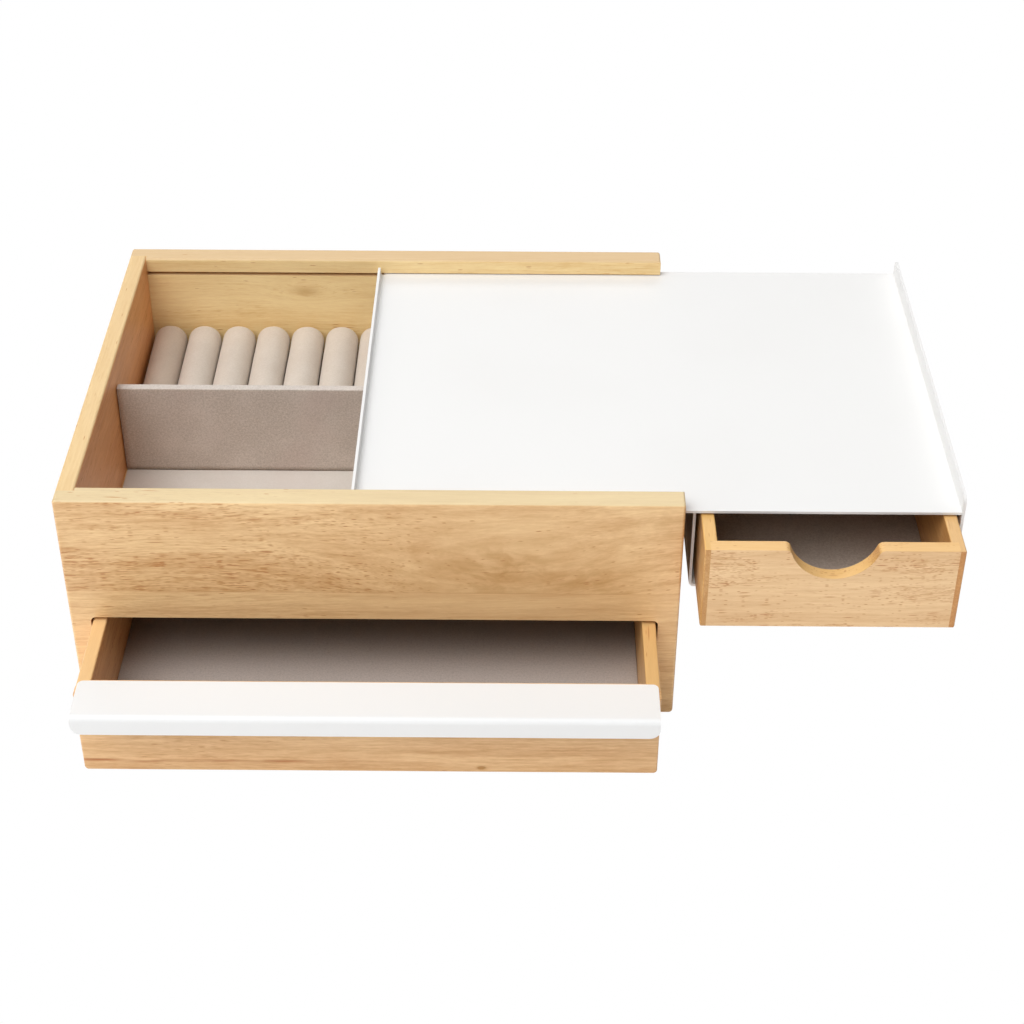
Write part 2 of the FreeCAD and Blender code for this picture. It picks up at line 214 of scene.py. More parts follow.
class EffectGroup:
    """A node group with named inputs and outputs, built once and used many times."""

    name = "effect"
    sort = "ShaderNodeTree"
    inputs: dict[str, Kind] = {}
    outputs = {"Color": Kind.COLOUR, "Roughness": Kind.NUMBER, "Height": Kind.NUMBER}

    @classmethod
    def tree(cls) -> bpy.types.NodeTree:
        """The finished group, built the first time that it is asked for.

        Returns:
            The group's node tree.
        """
        found = bpy.data.node_groups.get(cls.name)
        if found is not None:
            return found
        made = bpy.data.node_groups.new(cls.name, cls.sort)
        for in_out, sockets in (("INPUT", cls.inputs), ("OUTPUT", cls.outputs)):
            for name, kind in sockets.items():
                made.interface.new_socket(name=name, in_out=in_out, socket_type=kind.value)
        wiring = Wiring(made)
        given = wiring.node("NodeGroupInput").outputs
        results = cls.wire(wiring, {name: given[name] for name in cls.inputs})
        wiring.node("NodeGroupOutput", results)
        return made

    @classmethod
    def wire(cls, w: Wiring, given: Sockets) -> Sockets:
        """Builds the effect inside the group.

        Args:
            w: adds the nodes.
            given: the group's inputs by name.

        Returns:
            The socket for each output, by name.
        """
        raise NotImplementedError

    @classmethod
    def use(cls, wiring: Wiring, finish: object, values: dict[str, Value]) -> Sockets:
        """Places the group in a material.

        Args:
            wiring: the material's wiring.
            finish: a dataclass, whose fields fill the inputs that have their names.
            values: the other inputs by name.

        Returns:
            The group's outputs by name.
        """
        own = {each.name.replace("_", " ").title(): getattr(finish, each.name) for each in fields(finish)}
        known = own | values
        given = {name: known[name] for name in cls.inputs}
        placed = wiring.node("ShaderNodeGroup", given, node_tree=cls.tree())
        return {name: placed.outputs[name] for name in cls.outputs}


class WoodGrain(EffectGroup):
    """Rubberwood in the solid: faint growth rings, long fibres, brown dashes, open pores, seams and a knot.

    A tone of 0 is the light colour and 1 the dark one. Noises are finer across the grain than along it.
    """

    name = "wood_grain"
    inputs = {
        **dict.fromkeys(("Place", "Pith", "Knot"), Kind.PLACE),
        **dict.fromkeys(("Light", "Dark", "Upper", "Inner", "Pore"), Kind.COLOUR),
        **dict.fromkeys((
            "Level", "End Face", "Upper Face", "Inner Face", "Seed", "Ring Width", "Ring Contrast",
            "Fibre Contrast", "Dash Amount", "Pore Amount", "Pore Length", "Pore Limit",
            "Seam Height", "Lower Calm", "Lower Lift", "Vein Height", "Vein Strength",
            "Knot Radius", "Smudge"), Kind.NUMBER),
    }
    smudge_colour = (0.50, 0.235, 0.055)

    fibres = Noise((0.05, 0.85, 0.85), 4.0, 0.55)
    fine = Noise((0.24, 2.4, 2.4), 2.0, 0.6)
    bands = Noise((0.009, 0.26, 0.26), 2.0, 0.55)
    clouds = Noise((0.008, 0.045, 0.045), 3.0)
    patches = Noise((0.016, 0.10, 0.10))
    dashes = Noise((0.15, 1.35, 1.35), 1.0)
    bend = Noise((0.010, 0.022, 0.022))
    late_wood = Noise((0.006, 0.05, 0.05), 2.0, 0.55)
    curl = Noise((0.035, 0.05, 0.05))
    curled = Noise((0.06, 0.13, 0.13), 5.0, 0.6)
    vein_path = Noise((0.012, 0.0, 0.0), 3.0, 0.6)
    vein_depth = Noise((0.05, 0.4, 0.4))

    base_tone = 0.31
    fibre_depth, fine_depth, cloud_depth, band_depth, end_depth = 1.2, 0.8, 0.9, 0.8, 0.6
    upper_share, pore_share, line_share = 0.75, 0.8, 0.6
    fibre_relief, fine_relief, pore_relief, pore_roughness = 0.35, 0.25, 0.05, 0.2
    pores_less_on_top = 0.9
    knot_calm, knot_calm_reach = 0.75, 2.4
    knot_dip, knot_dip_reach = 0.85, 1.9
    lower_seed = 7.3
    bend_reach = (0.0, 6.0, 6.0)
    curl_reach = (26.0, 20.0, 20.0)
    vein_swing, vein_edge = 5.0, (1.3, 0.1)
    seam_edge, seam_depth = (0.35, 0.08), 0.4
    bell_shape = (0.5, 1.0, 1.0)
    # Smooth steps: where each starts and ends, and then what it gives at its start and at its end.
    dash_span, late_rise, late_fall = (0.54, 0.70), (0.2, 0.9), (1.0, 0.9)
    late_patches, curl_patches = (0.35, 0.65, 0.1, 1.0), (0.32, 0.66, 0.1, 1.0)
    busy_patches, busy_band = (0.42, 0.60, 0.12, 1.0), (26.0, 4.0, 0.0, 0.8)
    limit_fade, vein_breaks = (-60.0, 10.0, 1.0, 0.12), (0.35, 0.65, 0.3, 1.0)
    cell_depths, fibre_roughness = (0.0, 1.0, 0.35, 1.0), (0.3, 0.7, 0.42, 0.5)
    # Stains: the offset from the knot in mm, the reach as a share of its radius, and the depth.
    stains = (((0.0, 0.0, 0.0), 0.9, 1.0), ((39.0, 0.0, -7.0), 0.6, 0.75), ((73.0, 0.0, 24.0), 0.45, 0.55))
    # Vessels: cells per mm along and across the grain, and the distances of a full and of no stain.
    vessels = ((0.055, 1.15, 0.12, 0.42), (0.20, 1.7, 0.16, 0.46))

    @classmethod
    def wire(cls, w: Wiring, given: Sockets) -> Sockets:
        """The tone sums rings, strands, clouds, bands and dashes, and stains are laid over its colour.

        Args:
            w: adds the nodes.
            given: the group's inputs by name.

        Returns:
            The socket for each output, by name.
        """
        lower = w.math("LESS_THAN", given["Level"], given["Seam Height"])
        upper = w.minus(1.0, lower)
        calm = w.minus(1.0, w.times(lower, given["Lower Calm"]))
        solid = cls.bent_place(w, given, lower)
        fibres = cls.fibres.value(w, solid)
        fine = cls.fine.value(w, solid)
        before = cls.before_limit(w, given)
        busy = w.times(cls.busy(w, given, solid), calm, before)
        plain = w.minus(1.0, w.times(cls.fall_off(w, given, cls.knot_calm_reach), cls.knot_calm))

        strand = w.plus(
            w.times(w.minus(fibres, NOISE_MIDDLE), cls.fibre_depth),
            w.times(w.minus(fine, NOISE_MIDDLE), cls.fine_depth),
        )
        dashes = w.span(cls.dashes.value(w, solid), *cls.dash_span)
        tone = w.plus(
            cls.base_tone,
            w.times(cls.rings(w, given, solid), given["Ring Contrast"], calm),
            w.times(strand, plain, given["Fibre Contrast"]),
            cls.clouds.swing(w, solid, cls.cloud_depth),
            cls.bands.swing(w, solid, cls.band_depth),
            w.times(dashes, busy, given["Dash Amount"]),
        )
        # Painted light: the tone below the seam is made lighter, against the shade on the lower front.
        tone = w.minus(tone, w.times(lower, given["Lower Lift"]))
        tone = w.math("ADD", tone, w.times(given["End Face"], cls.end_depth), clamp=True)

        pores = cls.pores(w, given, solid, busy)
        lines = w.most(w.times(cls.vein(w, given), before), cls.seam(w, given))
        colour = w.blend(tone, given["Light"], given["Dark"])
        colour = w.blend(w.times(cls.smudge(w, given, solid), upper), colour, cls.smudge_colour)
        # Painted shade and light: faces that look the inner way are multiplied by the inner tint.
        colour = w.blend(given["Inner Face"], colour, given["Inner"], "MULTIPLY")
        # Painted highlight: faces that look up are mixed towards the upper colour.
        colour = w.blend(w.times(given["Upper Face"], cls.upper_share), colour, given["Upper"])
        stain = w.most(w.times(pores, cls.pore_share), w.times(lines, cls.line_share))
        relief = w.times(w.plus(w.times(fine, cls.fine_relief), w.times(fibres, cls.fibre_relief)), plain)
        return {
            "Color": w.blend(stain, colour, given["Pore"]),
            "Roughness": w.plus(w.span(fibres, *cls.fibre_roughness), w.times(pores, cls.pore_roughness)),
            "Height": w.minus(relief, w.times(pores, cls.pore_relief)),
        }

    @classmethod
    def fall_off(cls, w: Wiring, given: Sockets, reach: float, offset: Triple = (0.0, 0.0, 0.0)) -> Socket:
        """One at the knot, or at an offset from it, falling off as a bell that is longer along the grain.

        Args:
            w: adds the nodes.
            given: the group's inputs by name.
            reach: how far the bell goes, as a share of the knot's radius.
            offset: the bell's place from the knot in mm.

        Returns:
            The bell's height.
        """
        away = w.vector("SUBTRACT", w.vector("SUBTRACT", given["Place"], given["Knot"]), offset)
        away = w.vector("LENGTH", w.scaled(away, cls.bell_shape), output=1)
        share = w.math("DIVIDE", away, w.times(given["Knot Radius"], reach))
        return w.math("POWER", math.e, w.times(share, share, -1.0))

    @classmethod
    def bent_place(cls, w: Wiring, given: Sockets, lower: Socket) -> Socket:
        """The place shifted by the seed, bent by slow noise and lifted round the knot, so that lines dip.

        Args:
            w: adds the nodes.
            given: the group's inputs by name.
            lower: one below the seam and zero above it.

        Returns:
            The bent place in mm.
        """
        seed = w.plus(given["Seed"], w.times(lower, cls.lower_seed))
        solid = w.vector("ADD", given["Place"], w.vector("SCALE", SEED_SHIFT, seed))
        dip = w.times(cls.fall_off(w, given, cls.knot_dip_reach), given["Knot Radius"], cls.knot_dip)
        dip = w.times(dip, w.minus(1.0, lower))
        solid = w.vector("ADD", solid, cls.bend.push(w, solid, cls.bend_reach))
        return w.vector("ADD", solid, w.node("ShaderNodeCombineXYZ", (0.0, dip, dip)).outputs[0])

    @classmethod
    def before_limit(cls, w: Wiring, given: Sockets) -> Socket:
        """One far left of the limit, falling to a little past it: where dashes, pores and veins lie."""
        past = w.minus(w.axes(given["Place"])[0], given["Pore Limit"])
        return w.span(past, *cls.limit_fade)

    @classmethod
    def busy(cls, w: Wiring, given: Sockets, solid: Socket) -> Socket:
        """How busy the wood is: in slow patches, and in a band just above the seam."""
        band = w.span(w.minus(given["Level"], given["Seam Height"]), *cls.busy_band)
        return w.most(w.span(cls.patches.value(w, solid), *cls.busy_patches), band)

    @classmethod
    def rings(cls, w: Wiring, given: Sockets, solid: Socket) -> Socket:
        """Late wood: a saw-tooth of the distance to the pith line, worked out on the bent place.

        Args:
            w: adds the nodes.
            given: the group's inputs by name.
            solid: the bent place in the wood.

        Returns:
            How dark the late wood is.
        """
        pith = w.vector("ADD", given["Pith"], w.vector("SCALE", SEED_SHIFT, given["Seed"]))
        around = w.vector("SUBTRACT", solid, pith)
        distance = w.vector("LENGTH", w.scaled(around, (0.0, 1.0, 1.0)), output=1)
        saw = w.math("FRACT", w.math("DIVIDE", distance, given["Ring Width"]))
        late = w.times(w.span(saw, *cls.late_rise), w.span(saw, *cls.late_fall))
        return w.times(late, w.span(cls.late_wood.value(w, solid), *cls.late_patches))

    @classmethod
    def smudge(cls, w: Wiring, given: Sockets, solid: Socket) -> Socket:
        """Soft curled patches at the knot and two more beside it: warped noise under three bells.

        Args:
            w: adds the nodes.
            given: the group's inputs by name.
            solid: the bent place in the wood.

        Returns:
            How strong the patches are.
        """
        place = w.vector("ADD", solid, cls.curl.push(w, solid, cls.curl_reach))
        bells = [w.times(cls.fall_off(w, given, reach, offset), depth) for offset, reach, depth in cls.stains]
        patch = w.span(cls.curled.value(w, place), *cls.curl_patches)
        return w.times(patch, w.most(*bells), given["Smudge"])

    @classmethod
    def pores(cls, w: Wiring, given: Sockets, solid: Socket, busy: Socket) -> Socket:
        """Open vessels: long cells and short ones, each as dark as its own chance, more where it is busy.

        Args:
            w: adds the nodes.
            given: the group's inputs by name.
            solid: the bent place in the wood.
            busy: how busy the wood is.

        Returns:
            How dark the pores are.
        """
        fewer = w.minus(1.0, w.times(given["Upper Face"], cls.pores_less_on_top))
        share = w.times(given["Pore Amount"], busy, fewer)
        slow = w.math("DIVIDE", 1.0, given["Pore Length"])
        found = []
        for step, rise, near, far in cls.vessels:
            spread = w.node("ShaderNodeCombineXYZ", (w.times(slow, step), rise, rise)).outputs[0]
            place = w.vector("MULTIPLY", solid, spread)
            cells = w.node("ShaderNodeTexVoronoi", {"Vector": place, "Scale": 1.0})
            chance, depth, _ = w.axes(cells.outputs["Color"])
            open_cell = w.times(w.math("LESS_THAN", chance, share), w.span(depth, *cls.cell_depths))
            found.append(w.times(open_cell, w.span(cells.outputs["Distance"], far, near)))
        return w.most(*found)

    @classmethod
    def vein(cls, w: Wiring, given: Sockets) -> Socket:
        """A soft dark streak that wanders along the board at one height and comes and goes.

        Args:
            w: adds the nodes.
            given: the group's inputs by name.

        Returns:
            How dark the streak is.
        """
        wander = cls.vein_path.swing(w, given["Place"], cls.vein_swing)
        gap = w.math("ABSOLUTE", w.minus(w.plus(given["Level"], wander), given["Vein Height"]))
        depth = w.span(cls.vein_depth.value(w, given["Place"]), *cls.vein_breaks)
        return w.times(w.span(gap, *cls.vein_edge), depth, given["Vein Strength"])

    @classmethod
    def seam(cls, w: Wiring, given: Sockets) -> Socket:
        """The hair line where two glued staves meet."""
        gap = w.math("ABSOLUTE", w.minus(given["Level"], given["Seam Height"]))
        return w.span(gap, *cls.seam_edge, 0.0, cls.seam_depth)


class PowderSkin(EffectGroup):
    """Powder coat: a fine pebbled skin with slow waves, a faint change of tint, and painted shade where it is
    asked for.
    """

    name = "powder_skin"
    inputs = {
        "Place": Kind.PLACE,
        **dict.fromkeys(("Paint", "Shade", "Bare"), Kind.COLOUR),
        "Bare Share": Kind.NUMBER,
    }
    pebbles = Noise((1.7, 1.7, 1.7), 3.0, 0.6)
    waves = Noise((0.16, 0.16, 0.16))
    clouds = Noise((0.012, 0.012, 0.012))
    wave_depth = 2.0
    pebble_tint, cloud_tint = (0.35, 0.65, 0.0, 0.25), (0.35, 0.65, 0.0, 0.5)
    pebble_roughness = (0.3, 0.7, 0.38, 0.5)

    @classmethod
    def wire(cls, w: Wiring, given: Sockets) -> Sockets:
        """Pebbles 0.6 mm across over waves of about 6 mm.

        Args:
            w: adds the nodes.
            given: the group's inputs by name.

        Returns:
            The socket for each output, by name.
        """
        pebbles = cls.pebbles.value(w, given["Place"])
        clouds = cls.clouds.value(w, given["Place"])
        tint = w.plus(w.span(pebbles, *cls.pebble_tint), w.span(clouds, *cls.cloud_tint))
        paint = w.blend(tint, given["Paint"], given["Shade"])
        return {
            # Painted shade: the dark brown is mixed in by its given share.
            "Color": w.blend(given["Bare Share"], paint, given["Bare"]),
            "Roughness": w.span(pebbles, *cls.pebble_roughness),
            "Height": w.plus(pebbles, w.times(cls.waves.value(w, given["Place"]), cls.wave_depth)),
        }


class SuedeNap(EffectGroup):
    """Short-nap suede felt: fine grain, brushed patches, a warm mottle, and a paler colour laid on as painted
    light.
    """

    name = "suede_nap"
    inputs = {
        "Place": Kind.PLACE,
        **dict.fromkeys(("Base", "Brushed", "Blush", "Faded"), Kind.COLOUR),
        **dict.fromkeys(("Mottle", "Fade"), Kind.NUMBER),
    }
    fibres = Noise((3.4, 3.4, 3.4), 3.0, 0.7)
    tufts = Noise((1.1, 1.1, 1.1), 3.0, 0.6)
    patches = Noise((0.05, 0.05, 0.05), 3.0, 0.6)
    warm = Noise((0.021, 0.021, 0.021))
    fibre_share, tuft_share, patch_depth = 0.5, 0.5, 1.2
    grain_brush, patch_brush = (0.36, 0.64), (0.4, 0.7, 0.0, 0.25)
    warm_blush, fade_grain = (0.5, 0.72, 0.0, 0.35), (0.3, 0.6, 0.6, 1.0)
    tuft_roughness = (0.3, 0.7, 0.88, 0.98)

    @classmethod
    def wire(cls, w: Wiring, given: Sockets) -> Sockets:
        """Fibres of 0.3 mm, tufts of 1 mm, and patches of 10 to 40 mm that lie the other way.

        Args:
            w: adds the nodes.
            given: the group's inputs by name.

        Returns:
            The socket for each output, by name.
        """
        place = given["Place"]
        tufts = cls.tufts.value(w, place)
        patches = cls.patches.value(w, place)
        fibres = w.times(cls.fibres.value(w, place), cls.fibre_share)
        grain = w.plus(fibres, w.times(tufts, cls.tuft_share))
        brushed = w.times(w.span(grain, *cls.grain_brush), given["Mottle"])
        brushed = w.math("ADD", brushed, w.span(patches, *cls.patch_brush), clamp=True)
        colour = w.blend(brushed, given["Base"], given["Brushed"])
        colour = w.blend(w.span(cls.warm.value(w, place), *cls.warm_blush), colour, given["Blush"])
        # Painted light: the paler colour is mixed in by the given share, more where the grain is raised.
        fade = w.times(given["Fade"], w.span(grain, *cls.fade_grain))
        return {
            "Color": w.blend(fade, colour, given["Faded"]),
            "Roughness": w.span(tufts, *cls.tuft_roughness),
            "Height": w.plus(grain, w.times(patches, cls.patch_depth)),
        }


# ---- finishes ----
class Grain(Enum):
    """Which way a board's grain runs, as the turn that brings it to local X."""

    ALONG_X = (0.0, 0.0, 0.0)
    ALONG_Y = (0.0, 0.0, -math.pi / 2)


def new_material(name: str) -> tuple[bpy.types.Material, Wiring, bpy.types.Node]:
    """An empty material with its shader.

    Args:
        name: the material's name.

    Returns:
        The material, the wiring of its tree and its Principled BSDF.
    """
    material = bpy.data.materials.new(name)
    material.use_nodes = True
    wiring = Wiring(material.node_tree)
    return material, wiring, material.node_tree.nodes["Principled BSDF"]


def millimetres(wiring: Wiring, turn: Triple = (0.0, 0.0, 0.0)) -> Socket:
    """Object coordinates in millimetres, turned so that the grain runs along X.

    Args:
        wiring: the material's wiring.
        turn: the turn about X, Y and Z in radians.

    Returns:
        The place's socket.
    """
    place = wiring.node("ShaderNodeTexCoord").outputs["Object"]
    values = {"Vector": place, "Rotation": turn, "Scale": (1 / MM,) * 3}
    return wiring.node("ShaderNodeMapping", values).outputs[0]


class Finish:
    """What all finishes share: relief in mm with the strength it shows at, and more values for the shader."""

    relief: Pair
    more: dict[str, float] = {}

    def pattern(self, wiring: Wiring) -> Sockets:
        """The surface's colour, roughness and height, by name."""
        raise NotImplementedError

    def material(self, name: str) -> bpy.types.Material:
        """A material with the finish's pattern, and with its relief in the bump.

        Args:
            name: the material's name.

        Returns:
            The finished material.
        """
        material, wiring, shader = new_material(name)
        made = self.pattern(wiring)
        bump = {"Height": made["Height"], "Distance": self.relief[0] * MM, "Strength": self.relief[1]}
        normal = wiring.node("ShaderNodeBump", bump).outputs[0]
        wiring.fill(shader, {"Base Color": made["Color"], "Roughness": made["Roughness"], "Normal": normal})
        wiring.fill(shader, self.more)
        return material


@dataclass(frozen=True)
class Rubberwood(Finish):
    """Satin clear-lacquered rubberwood: one board's cut from the log.

    Sizes are in mm, in the board's own axes, with X along the grain. Faces that look up take the upper
    colour, a painted highlight. Faces that look the inner way are multiplied by the inner tint: painted
    shade where it darkens them, painted light where it lightens them.
    """

    grain: Grain = Grain.ALONG_X
    seed: float = 0.0
    tilt: Pair = (0.0, 0.0)
    pith: Triple = (0.0, 70.0, 60.0)
    ring_width: float = 5.0
    ring_contrast: float = 0.2
    fibre_contrast: float = 1.0
    dash_amount: float = 0.3
    pore_amount: float = 0.3
    pore_length: float = 1.0
    pore_limit: float = FAR_PAST
    light: Triple = (0.90, 0.605, 0.30)
    dark: Triple = (0.58, 0.28, 0.09)
    # Painted highlight: the colour that faces looking up are mixed towards.
    upper: Triple = (0.74, 0.61, 0.355)
    pore: Triple = (0.47, 0.15, 0.025)
    # A tint for faces that look the inner way: painted shade where it is below one, painted light where it is
    # above.
    inner: Triple = (1.0, 1.0, 1.0)
    painted_light_way: Triple = (0.0, 0.0, 0.0)
    # How strongly faces that look up show the painted highlight.
    top_highlight: float = 0.0
    seam_height: float = FAR_BELOW
    lower_calm: float = 0.75
    # Painted light: how much lighter the tone below the seam is made.
    lower_lift: float = 0.25
    vein_height: float = FAR_BELOW
    vein_strength: float = 0.0
    knot: Triple = (0.0, 0.0, FAR_BELOW)
    knot_radius: float = 1.0
    smudge: float = 0.0

    relief = (0.06, 0.35)
    more = {"Coat Weight": 0.35, "Coat Roughness": 0.35}
    face_edge = (0.6, 0.95)

    def pattern(self, wiring: Wiring) -> Sockets:
        """The board's grain, with its turn and tilt in the mapping.

        Args:
            wiring: the material's wiring.

        Returns:
            The group's outputs by name.
        """
        turn = tuple(a + b for a, b in zip(self.grain.value, (0.0, *self.tilt)))
        facing = wiring.facing()
        along = (1.0, 0.0, 0.0) if self.grain is Grain.ALONG_X else (0.0, 1.0, 0.0)
        end_way = wiring.math("ABSOLUTE", wiring.vector("DOT_PRODUCT", facing, along, output=1))
        inward = wiring.vector("DOT_PRODUCT", facing, self.painted_light_way, output=1)
        return WoodGrain.use(wiring, self, {
            "Place": millimetres(wiring, turn),
            "Level": wiring.axes(millimetres(wiring))[2],
            "End Face": wiring.span(end_way, *self.face_edge),
            "Upper Face": wiring.span(wiring.axes(facing)[2], *UPWARD, 0.0, self.top_highlight),
            "Inner Face": wiring.span(inward, *self.face_edge),
        })


@dataclass(frozen=True)
class PowderCoat(Finish):
    """Satin white powder coat, with painted shade in dark brown on left faces that lie before a line in mm.
    """

    paint: Triple = (0.838, 0.836, 0.828)
    shade: Triple = (0.815, 0.81, 0.80)
    # Painted shade: the dark brown for the shadow on the cradle's left sheet and the wood that it reflects.
    bare: Triple = (0.50, 0.33, 0.235)
    bare_until: float = FAR_BELOW

    relief = (0.02, 0.35)
    leftward = (-0.7, -0.95)

    def pattern(self, wiring: Wiring) -> Sockets:
        """The paint, and the share of painted shade on it.

        Args:
            wiring: the material's wiring.

        Returns:
            The group's outputs by name.
        """
        place = millimetres(wiring)
        before = wiring.math("LESS_THAN", wiring.axes(place)[0], self.bare_until)
        bare = wiring.times(before, wiring.span(wiring.axes(wiring.facing())[0], *self.leftward))
        return PowderSkin.use(wiring, self, {"Place": place, "Bare Share": bare})


@dataclass(frozen=True)
class Suede(Finish):
    """Suede felt, in one dye, with painted light where it is set so: paler on faces that look up, and towards
    the front.
    """

    base: Triple = (0.41, 0.345, 0.29)
    brushed: Triple = (0.58, 0.505, 0.445)
    blush: Triple = (0.53, 0.41, 0.37)
    # Painted light: the paler colour laid on where the felt is set to look lit.
    faded: Triple = (0.70, 0.64, 0.585)
    mottle: float = 1.0
    # Painted highlight on faces that look up, such as a cover's rounded top.
    top_painted_light: float = 0.0
    # Painted light towards the front, over the front reach in mm.
    front_fade: float = 0.0
    front_reach: Pair = (-140.0, -90.0)
    sheen: float = 0.35

    relief = (0.12, 0.55)

    @property
    def more(self) -> dict[str, float]:
        """Less shine, and the soft sheen."""
        return {"Specular IOR Level": 0.2, "Sheen Weight": self.sheen, "Sheen Roughness": 0.45}

    def pattern(self, wiring: Wiring) -> Sockets:
        """The felt's nap, with the share of painted light that is laid on it.

        Args:
            wiring: the material's wiring.

        Returns:
            The group's outputs by name.
        """
        place = millimetres(wiring)
        # Painted highlight on faces that look up, and painted light towards the front.
        fold = wiring.span(wiring.axes(wiring.facing())[2], *UPWARD, 0.0, self.top_painted_light)
        front = wiring.span(wiring.axes(place)[1], *self.front_reach, self.front_fade, 0.0)
        return SuedeNap.use(wiring, self, {"Place": place, "Fade": wiring.most(fold, front)})


# ---- CAD nodes ----
class EdgeShading(EffectGroup):
    """Live modifiers that merge a CAD node's loose triangles and shade its curved faces smooth."""

    name = "edge_shading"
    sort = "GeometryNodeTree"
    inputs = {"Geometry": Kind.SHAPE}
    outputs = {"Geometry": Kind.SHAPE}
    sharp_angle = math.radians(28)

    @classmethod
    def wire(cls, w: Wiring, given: Sockets) -> Sockets:
        """Points that lie together merged, every face smooth, and every edge over the angle sharp.

        Args:
            w: adds the nodes.
            given: the group's inputs by name.

        Returns:
            The shaded geometry, by its output's name.
        """
        merge = {"Geometry": given["Geometry"], "Distance": WELD}
        merged = w.node("GeometryNodeMergeByDistance", merge).outputs[0]
        smooth = w.node("GeometryNodeSetShadeSmooth", (merged,), domain="FACE").outputs[0]
        angle = w.node("GeometryNodeInputMeshEdgeAngle").outputs["Unsigned Angle"]
        compare = {"data_type": "FLOAT", "operation": "GREATER_THAN"}
        over = w.node("FunctionNodeCompare", (angle, cls.sharp_angle), **compare).outputs[0]
        creased = {"Geometry": smooth, "Selection": over, "Shade Smooth": False}
        return {"Geometry": w.node("GeometryNodeSetShadeSmooth", creased, domain="EDGE").outputs[0]}

    @classmethod
    def add_to(cls, node: bpy.types.Object) -> None:
        """Adds the shading, and normals weighted by area so that flat faces stay flat beside a rounding."""
        node.modifiers.new("edge_shading", "NODES").node_group = cls.tree()
        node.modifiers.new("flat_faces", "WEIGHTED_NORMAL").keep_sharp = True


def dress_node(name: str, material: bpy.types.Material) -> None:
    """Gives one CAD node its finish and its edge shading.

    Args:
        name: the node's name.
        material: its finish.
    """
    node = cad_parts[name]
    node.data.materials.clear()
    node.data.materials.append(material)
    EdgeShading.add_to(node)
    log.info("dressed %s with %s", name, material.name)


def dress_boards(boards: dict[str, Rubberwood]) -> None:
    """Dresses each board with its own cut of wood."""
    for name, wood in boards.items():
        dress_node(name, wood.material("rubberwood_" + name))


def node_box(name: str) -> tuple[np.ndarray, np.ndarray]:
    """The lowest and highest corners of a CAD node."""
    low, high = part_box(name)
    return np.array(low), np.array(high)


def add_object(name: str, data: bpy.types.ID) -> bpy.types.Object:
    """A new object with its data, in the scene.

    Args:
        name: the object's name.
        data: its mesh, light or camera.

    Returns:
        The linked object.
    """
    made = bpy.data.objects.new(name, data)
    bpy.context.scene.collection.objects.link(made)
    return made


# ---- meshes ----
def make_piece(
    name: str, points: np.ndarray, faces: np.ndarray, material: bpy.types.Material
) -> bpy.types.Object:
    """A mesh object with closed seams and outward faces, at the origin.

    Args:
        name: the piece's name.
        points: vertex places, one row each.
        faces: vertex numbers, four to a row.
        material: its finish.

    Returns:
        The linked object, shaded smooth.
    """
    mesh = bpy.data.meshes.new(name)
    mesh.from_pydata(points.tolist(), [], faces.tolist())
    work = bmesh.new()
    work.from_mesh(mesh)
    bmesh.ops.remove_doubles(work, verts=work.verts, dist=WELD)
    bmesh.ops.dissolve_degenerate(work, edges=work.edges, dist=SLIVER)
    bmesh.ops.recalc_face_normals(work, faces=work.faces)
    work.to_mesh(mesh)
    work.free()
    mesh.polygons.foreach_set("use_smooth", np.ones(len(mesh.polygons), bool))
    mesh.materials.append(material)
    log.info("made %s", name)
    return add_object(name, mesh)


def quads(numbers: np.ndarray) -> np.ndarray:
    """The quads of a grid of points, from the points' numbers."""
    corners = (numbers[:-1, :-1], numbers[:-1, 1:], numbers[1:, 1:], numbers[1:, :-1])
    return np.stack(corners, -1).reshape(-1, 4)


def swell_wave(a: np.ndarray, b: np.ndarray, seed: float) -> np.ndarray:
    """A slow uneven surface from -1 to 1: four crossing sine waves, the shorter the weaker, set by a seed.

    Args:
        a: places along one way in metres.
        b: places along the other way.
        seed: turns and shifts the waves.

    Returns:
        The surface's height at each place.
    """
    total = np.zeros(np.broadcast(a, b).shape)
    for index, length in enumerate(WAVE_LENGTHS):
        angle = WAVE_TURN * index + seed
        along = (a * math.cos(angle) + b * math.sin(angle)) / length
        phase = WAVE_SHIFT * index + SEED_PHASE * seed
        total = total + np.sin(2 * math.pi * along + phase) / (index + 2)
    return total / WAVE_PEAK


def even_steps(low: float, high: float, step: float, rim: float) -> np.ndarray:
    """Steps across a span, with three finer ones inside each rim.

    Args:
        low: where the span starts.
        high: where it ends.
        step: the usual step.
        rim: how wide each rim is.

    Returns:
        The places of the steps, in order.
    """
    inner = np.linspace(low + rim, high - rim, max(int((high - low) / step), 2))
    edge = rim * np.array(RIM_SHARES)
    return np.concatenate([low + edge, inner, (high - edge)[::-1]])


@dataclass
class Lining:
    """A felt lining laid flat on a board, with soft edges and a slightly uneven face.

    Its top is the thickness, less a quarter circle at the rim, plus a slow wave.
    """

    node: str
    body: str
    rests_on: str
    finish: Suede
    seed: float = 0.0
    wave: float = 0.10 * MM
    step: float = 3.0 * MM
    rim: float = 0.6 * MM

    def build(self) -> None:
        low, high = node_box(self.node)
        steps = [even_steps(low[axis], high[axis], self.step, self.rim) for axis in (0, 1)]
        x, y = np.meshgrid(*steps, indexing="ij")
        inside = np.minimum.reduce([x - low[0], high[0] - x, y - low[1], high[1] - y])
        rise = np.sqrt(1 - (1 - np.clip(inside / self.rim, 0, 1)) ** 2)
        thick = high[2] - low[2]
        top = low[2] + rise * (thick + self.wave * (swell_wave(x, y, self.seed) - 1))
        upper = np.stack([x, y, top], -1).reshape(-1, 3)
        lower = np.stack([x, y, np.full_like(x, low[2])], -1).reshape(-1, 3)
        faces = quads(np.arange(x.size).reshape(x.shape))
        both = np.concatenate([faces, faces[:, ::-1] + len(upper)])
        name = self.node + "_sheet"
        piece = make_piece(name, np.concatenate([upper, lower]), both, self.finish.material(name + "_suede"))
        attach(piece, self.body)
        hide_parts(self.node)


